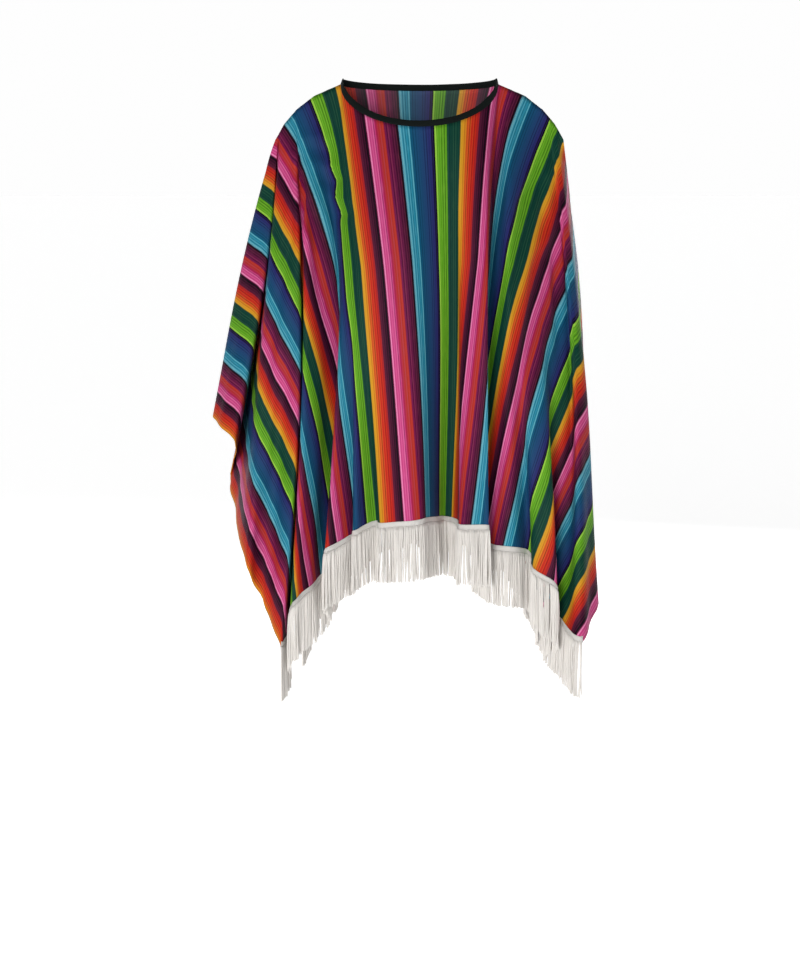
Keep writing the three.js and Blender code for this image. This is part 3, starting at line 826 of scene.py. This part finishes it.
def striped_material(name, sizes, colours, wrong_side):
    """Printed satin in serape stripes, each one drawn with fine lines like woven threads."""
    shader = Shader(bpy.data.materials.new(name))
    uv, u, v = shader.cut()
    repeat = sizes.stripe_repeat
    place = ((u - (sizes.stripe_start - 10 * repeat)) / repeat).fraction()
    stops, threads = [], []
    for stripe, following in zip(STRIPES, STRIPES[1:] + [(1.0,)]):
        start, first, last, thread, edge = stripe
        stops.append((start, getattr(colours, first)))
        stops.append((following[0] - STRIPE_BLEND, getattr(colours, last)))
        shade = tuple(getattr(colours, thread))[:3]
        if edge:
            threads.append((start, (*shade, 0.75)))
        threads.append((start + edge, (*shade, 0.0)))
    base = shader.add("ShaderNodeValToRGB", {"stops": stops}, place)
    thread = shader.add("ShaderNodeValToRGB", {"stops": threads, "steps": True}, place)
    # Fine lines: one light thread and one dark one in turn, of uneven strength.
    turn = place * (2 * math.pi * FINE_LINES)
    strength = shader.noise_along(place, FINE_LINES * 0.9)
    light = (turn.sine().positive() ** 2.0) * ((strength - 0.36).positive() * 1.5)
    dark = ((turn + math.pi).sine().positive() ** 2.0) * ((0.7 - strength).positive() * 1.6)
    base = shader.mix(light.maths("MAXIMUM", thread.output(1)), base, thread)
    base = shader.mix(dark, base, (0.002, 0.002, 0.006, 1.0))
    # The print is slightly uneven along each thread.
    drag = shader.noise(shader.stretched(uv, (900.0, 40.0, 1.0)), 1.0, 2.0)
    base = shader.mix((drag - 0.5).positive() * 0.8, base, thread)
    if wrong_side:
        base = shader.mix(0.08, base, (0.34, 0.33, 0.33, 1.0))
    cloudy = shader.noise(uv, 60.0, 3.0)
    weave = u.waves(0.0009) * 0.3 + v.waves(0.0007) * 0.3
    shader.bump(weave + cloudy * 2.0, 0.35, 0.00025)
    shader.set(
        Base_Color=base,
        Roughness=cloudy * 0.14 + (0.5 if wrong_side else 0.36),
        Specular_IOR_Level=0.06,
        Sheen_Weight=0.012,
        Sheen_Roughness=0.4,
    )
    return shader.owner


def binding_material(colours):
    """Matt black bias binding: a fine twill with a row of stitches near the cloth."""
    shader = Shader(bpy.data.materials.new("black_binding"))
    uv, u, v = shader.cut()
    twill = (u + v).waves(0.0008)
    grain = shader.noise(uv, 900.0, 2.0)
    stitch = u.waves(0.0026).positive() * v.ridge(0.0022, 2600.0)
    shader.bump(twill * 0.3 + grain * 0.4 + stitch * 1.2, 0.5, 0.0003)
    shade = shader.mix(grain * 0.5, colours.binding, (0.006, 0.012, 0.010, 1.0))
    shader.set(
        Base_Color=shader.mix(stitch * 0.5, shade, (0.014, 0.017, 0.017, 1.0)),
        Roughness=grain * 0.2 + 0.6,
        Specular_IOR_Level=0.1,
        Sheen_Weight=0.03,
    )
    return shader.owner


def header_material(colours):
    """The fringe's band: close cross-wise ribs held by two lines of chain stitch, with painted
    shade in the grooves between the ribs.
    """
    shader = Shader(bpy.data.materials.new("white_header"))
    uv, u, v = shader.cut()
    rib = (u + (v * 1300.0).sine() * 0.0003).waves(0.0024)
    seams = v.ridge(0.0028, 1500.0) + v.ridge(0.0075, 1500.0)
    chains = seams * (u.waves(0.0032) * 0.4 + 0.6)
    grain = shader.noise(uv, 900.0, 3.0)
    shader.bump(rib * 0.6 + chains * 0.8 + grain * 0.5, 0.9, 0.0007)
    # Painted shade: the grooves between the ribs are painted darker, towards grey, as if they lay
    # in shadow.
    shade = shader.mix((0.5 - rib * 0.5) * 0.45, colours.fringe, (0.48, 0.47, 0.45, 1.0))
    shade = shader.mix(chains * 0.4, shade, (0.8, 0.8, 0.79, 1.0))
    shader.set(
        Base_Color=shader.mix(grain * 0.5, shade, (0.55, 0.54, 0.52, 1.0)),
        Roughness=grain * 0.2 + 0.55,
        Specular_IOR_Level=0.3,
        Sheen_Weight=0.08,
    )
    return shader.owner


def strand_material(colours):
    """Chainette strands: bright yarn with a slanting braid, each strand of its own tone."""
    shader = Shader(bpy.data.materials.new("white_fringe"))
    uv, u, v = shader.cut()
    braid = ((u * 2.0 + v * 900.0) * math.pi).sine()
    cross = ((u * 2.0 - v * 900.0) * math.pi).sine()
    grain = shader.noise(shader.stretched(uv, (8.0, 300.0, 1.0)), 1.0, 2.0)
    # The whole part of u is the strand's number, once the half side that u starts at is off.
    number = (u - 0.5 / STRAND_SIDES).maths("FLOOR")
    tone = shader.noise_along(number * 0.73, 1.0)
    shader.bump(braid * 0.5 + cross * 0.5, 0.7, 0.0004)
    shade = shader.mix((tone - 0.45).positive(), colours.fringe, (0.56, 0.54, 0.515, 1.0))
    shade = shader.mix(grain * 0.14, shade, (0.66, 0.65, 0.63, 1.0))
    shader.set(
        Base_Color=shader.mix((braid * cross).positive() * 0.25, shade, (0.4, 0.4, 0.39, 1.0)),
        Roughness=grain * 0.15 + 0.42,
        Specular_IOR_Level=0.35,
        Sheen_Weight=0.1,
    )
    return shader.owner


# --- Pieces --------------------------------------------------------------------------------


HUNG = {}


def hung_cloth(sizes):
    """The hung surface, worked out once for all the pieces that share its ripple."""
    if sizes.ripple not in HUNG:
        rows, widest = ((92, 13.2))
        HUNG[sizes.ripple] = HungCloth(sizes, rows, widest)
    return HUNG[sizes.ripple]


class PONCHO_OT_cloth(bpy.types.Operator):
    """Hang the striped cloth from the shoulders, with its wall and its two sides"""

    bl_idname = "poncho.cloth"
    bl_label = "Striped cloth"

    def execute(self, context):
        sizes, colours = context.scene.poncho_sizes, context.scene.poncho_colours
        hung = hung_cloth(sizes)
        sheet = grid_mesh("striped_cloth", closed(hung.points), closed(hung.flats), capped=False)
        piece = placed("striped_cloth", sheet)
        piece.data.materials.append(striped_material("striped_cloth", sizes, colours, False))
        piece.data.materials.append(striped_material("striped_cloth_inside", sizes, colours, True))
        wall = piece.modifiers.new("wall", "SOLIDIFY")
        wall.thickness = sizes.cloth_thickness
        wall.offset = 0.0
        wall.material_offset = 1
        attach(piece, "root")
        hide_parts("cloth")
        return {"FINISHED"}


class PONCHO_OT_binding(bpy.types.Operator):
    """Fold the black binding over the neck edge"""

    bl_idname = "poncho.binding"
    bl_label = "Neck binding"

    def execute(self, context):
        sizes, colours = context.scene.poncho_sizes, context.scene.poncho_colours
        hung = hung_cloth(sizes)
        columns = hung.neck_columns()
        edge = hung.points[0, columns]
        out = hung.normals[1, columns]
        out = (np.roll(out, 1, 0) + out + np.roll(out, -1, 0)) / 3
        along = unit(np.roll(edge, -1, 0) - np.roll(edge, 1, 0))
        inward = unit(np.cross(out, along))
        out = np.cross(along, inward)
        width = sizes.binding_width + BINDING_LAP + BINDING_EDGE
        centre = edge + inward * (width / 2 - BINDING_LAP)
        centre, inward, out, edge = (closed(v, 0) for v in (centre, inward, out, edge))
        piece = flat_band("neck_binding_band", centre, inward, out, run_along(edge),
                          width, sizes.binding_thickness, 0.45, 16)
        piece.data.materials.append(binding_material(colours))
        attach(piece, "root")
        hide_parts("neck_binding")
        return {"FINISHED"}


def hem_lines(hung, side, sizes):
    """Along a hem: the header's lower line, the ways up and out, and how far along it is."""
    columns = hung.hem_columns(side)
    edge, above = hung.points[-1, columns], hung.points[-3, columns]
    out = hung.normals[-1, columns]
    lift = out * (sizes.cloth_thickness / 2 + HEADER_GAP + sizes.header_thickness / 2)
    return edge + lift, unit(above - edge), out, run_along(hung.flats[-1, columns, :1])


def strand_template():
    """One straight strand of unit length and radius, capped at both ends."""
    drop, girth = np.array(STRAND_RINGS).T[:, :, None]
    around = (np.arange(STRAND_SIDES + 1) + 0.5) / STRAND_SIDES
    x, y = -np.cos(2 * math.pi * around), -np.sin(2 * math.pi * around)
    points = np.stack(np.broadcast_arrays(girth * x, girth * y, -drop), 2)
    uvs = np.stack(np.broadcast_arrays(around, drop * 0.1), 2)
    return grid_mesh("strand", points, uvs, capped=True)


def strand_row(count):
    """A mesh of straight strands side by side, and the points of one of them."""
    template = strand_template()
    holder = placed("strand_row", template)
    array = holder.modifiers.new("row", "ARRAY")
    array.count = count
    array.use_relative_offset = False
    array.use_constant_offset = True
    array.constant_offset_displace = (0.01, 0, 0)
    bpy.context.view_layer.update()
    row = holder.evaluated_get(bpy.context.evaluated_depsgraph_get())
    mesh = bpy.data.meshes.new_from_object(row)
    bpy.data.objects.remove(holder)
    one = np.zeros(len(template.vertices) * 3)
    template.vertices.foreach_get("co", one)
    return mesh, one.reshape(-1, 3)


def over(vectors, shares):
    """The vector of each strand, taken by a share at each point down it."""
    return vectors[:, None, :] * shares[..., None]


def hung_strands(rng, place, one, lines, sizes):
    """The points of strands that hang at places along a hem, each shaped after one of them."""
    edge, up, out, reach = lines

    def along(values):
        return np.stack([np.interp(place, reach, values[:, k]) for k in range(3)], 1)

    count = len(place)
    upward = along(up)
    level = unit(along(out) * (1, 1, 0))
    sideways = np.cross(level, (0, 0, 1.0))
    row = np.where(np.arange(count) % 2 == 0, ROW_OFFSET, -ROW_OFFSET)[:, None]
    start = along(edge) + upward * STRAND_TUCK + level * row
    # Neighbouring strands swing together, and each one a little on its own.
    waves = rng.uniform(0, 2 * math.pi, (2, 14))
    pitch = rng.uniform(0.010, 0.060, (2, 14))
    swing = np.sin(place[:, None, None] * (2 * math.pi / pitch) + waves).sum(2) / math.sqrt(7)
    drift = level * OUTWARD
    for k, way in enumerate((sideways, level)):
        drift += way * (swing[:, k] * SWING[k] + rng.normal(0, STRAY[k], count))[:, None]
    reach_down = sizes.strand_length * (1 + rng.normal(0, 0.012, count))[:, None]
    bow = rng.normal(0, BOW, (count, 2))
    girth = sizes.strand_radius * (1 + rng.normal(0, 0.1, count))[:, None]
    fall = -one[:, 2]
    # Each leaves the band square to it, and turns straight down within a few millimetres.
    points = start[:, None, :] + over(DOWN * reach_down, fall)
    points += over((-upward - DOWN) * TURN_DOWN, 1 - np.exp(-fall * 12))
    points += over(drift, fall**1.4)
    points += over(sideways * bow[:, :1] + level * bow[:, 1:], np.sin(fall * math.pi))
    return points + over(sideways, one[:, 0] * girth) + over(level, one[:, 1] * girth)


class PONCHO_OT_fringe(bpy.types.Operator):
    """Sew a header along each hem and hang the strands from it"""

    bl_idname = "poncho.fringe"
    bl_label = "Fringe"

    def execute(self, context):
        sizes, colours = context.scene.poncho_sizes, context.scene.poncho_colours
        hung = hung_cloth(sizes)
        band_material, yarn = header_material(colours), strand_material(colours)
        for side in ("front", "back"):
            lines = hem_lines(hung, side, sizes)
            header = self.header(side, lines, sizes)
            header.data.materials.append(band_material)
            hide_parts(f"fringe_header_{side}")
            strands = self.strands(side, lines, sizes)
            strands.data.materials.append(yarn)
            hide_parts(f"fringe_{side}")
            for piece in (header, strands):
                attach(piece, "root")
        return {"FINISHED"}

    def header(self, side, lines, sizes):
        edge, up, out, reach = lines
        centre = edge + up * (sizes.header_width / 2)
        return flat_band(f"fringe_header_band_{side}", centre, up, out, reach,
                         sizes.header_width, sizes.header_thickness, 0.4, 12)

    def strands(self, side, lines, sizes):
        rng = np.random.default_rng(5 if side == "front" else 9)
        count = 2 * sizes.strand_count
        mesh, one = strand_row(count)
        number = np.arange(count)
        spots = (number + 0.5) / count + rng.normal(0, 0.3 / count, count)
        place = np.clip(spots, 0.0005, 0.9995) * lines[3][-1]
        points = hung_strands(rng, place, one, lines, sizes)
        mesh.vertices.foreach_set("co", points.astype(np.float32).ravel())
        # A strand's number goes into its u, which gives it a tone of its own.
        layer = mesh.uv_layers["cut"].data
        uvs = np.zeros(len(layer) * 2, np.float32)
        layer.foreach_get("uv", uvs)
        uvs[0::2] += np.repeat(number, len(layer) // count)
        layer.foreach_set("uv", uvs)
        mesh.name = f"fringe_strands_{side}"
        mesh.update()
        return placed(mesh.name, mesh)


class PONCHO_OT_stage(bpy.types.Operator):
    """Lay the floor, set the soft lights and place the camera"""

    bl_idname = "poncho.stage"
    bl_label = "Stage"

    def execute(self, context):
        scene = context.scene
        self.lay_floor(scene.poncho_colours)
        self.set_lights()
        scene.world = self.room()
        scene.view_settings.view_transform = "Standard"
        scene.camera = self.camera()
        return {"FINISHED"}

    def lay_floor(self, colours):
        bm = bmesh.new()
        bmesh.ops.create_grid(bm, x_segments=1, y_segments=1, size=40.0)
        bmesh.ops.translate(bm, verts=bm.verts, vec=(0, 0, CAD_BOX[0].z - 0.42))
        floor = placed("floor", finished(bm, "floor"))
        shader = Shader(bpy.data.materials.new("floor"))
        speckle = shader.add("ShaderNodeTexNoise", {}, Scale=40.0, Detail=2.0)
        shader.set(Base_Color=shader.mix(speckle * 0.04, colours.floor, (0.75, 0.75, 0.75, 1.0)),
                   Roughness=0.8, Emission_Color=(1.0, 1.0, 1.0, 1.0), Emission_Strength=0.76)
        floor.data.materials.append(shader.owner)

    def set_lights(self):
        """A broad key light from the left, and two soft lamps, each aimed at the poncho."""
        sun = bpy.data.lights.new("key", "SUN")
        sun.energy = 2.05
        sun.angle = math.radians(24)
        lights = [(sun, (-1.2, -3.6, 0.1))]
        for name, energy, place in (("fill", 5, (2.4, -2.6, -0.2)), ("back", 36, (0.9, 3.4, 0.3))):
            lamp = bpy.data.lights.new(name, "AREA")
            lamp.shape = "DISK"
            lamp.size = 2.0
            lamp.energy = energy
            lights.append((lamp, place))
        for light, place in lights:
            lamp = placed(light.name, light)
            lamp.location = place
            towards = Vector((0, 0, -0.45)) - lamp.location
            lamp.rotation_euler = towards.to_track_quat("-Z", "Y").to_euler()

    def camera(self):
        camera = placed("camera", bpy.data.cameras.new("camera"))
        camera.data.lens = 79.6
        camera.data.sensor_width = 36.0
        camera.data.shift_x = -0.0204
        camera.location = (0.0, -3.6, -0.07)
        camera.rotation_euler = (math.radians(90 - 9.442), 0.0, 0.0)
        return camera

    def room(self):
        """A pale room, brighter at eye level than overhead."""
        shader = Shader(bpy.data.worlds.new("soft_room"), "Background")
        direction = shader.add("ShaderNodeTexCoord", {})
        height = shader.add("ShaderNodeSeparateXYZ", {}, direction).output(2)
        strength = shader.add("ShaderNodeMapRange", {"interpolation_type": "SMOOTHSTEP"},
                              height, 0.07, 0.17, 0.99, 0.14)
        shader.set(Color=(1.0, 1.0, 1.0, 1.0), Strength=strength)
        return shader.owner


class PONCHO_PT_panel(bpy.types.Panel):
    """Lists the poncho's pieces, sizes and colours"""

    bl_idname = "PONCHO_PT_panel"
    bl_label = "Striped poncho"
    bl_space_type = "VIEW_3D"
    bl_region_type = "UI"
    bl_category = "Poncho"

    def draw(self, context):
        for operator in OPERATORS:
            self.layout.operator(operator.bl_idname)
        for group in (context.scene.poncho_sizes, context.scene.poncho_colours):
            box = self.layout.box()
            for name in group.__annotations__:
                box.prop(group, name)


OPERATORS = (PONCHO_OT_stage, PONCHO_OT_cloth, PONCHO_OT_binding, PONCHO_OT_fringe)
CLASSES = (PonchoSizes, PonchoColours, *OPERATORS, PONCHO_PT_panel)


def register():
    for cls in CLASSES:
        bpy.utils.register_class(cls)
    bpy.types.Scene.poncho_sizes = bpy.props.PointerProperty(type=PonchoSizes)
    bpy.types.Scene.poncho_colours = bpy.props.PointerProperty(type=PonchoColours)


def unregister():
    del bpy.types.Scene.poncho_colours
    del bpy.types.Scene.poncho_sizes
    for cls in reversed(CLASSES):
        bpy.utils.unregister_class(cls)


def main():
    register()
    bpy.ops.poncho.stage()
    bpy.ops.poncho.cloth()
    bpy.ops.poncho.binding()
    bpy.ops.poncho.fringe()
    bpy.context.view_layer.update()


if __name__ == "__main__":
    main()
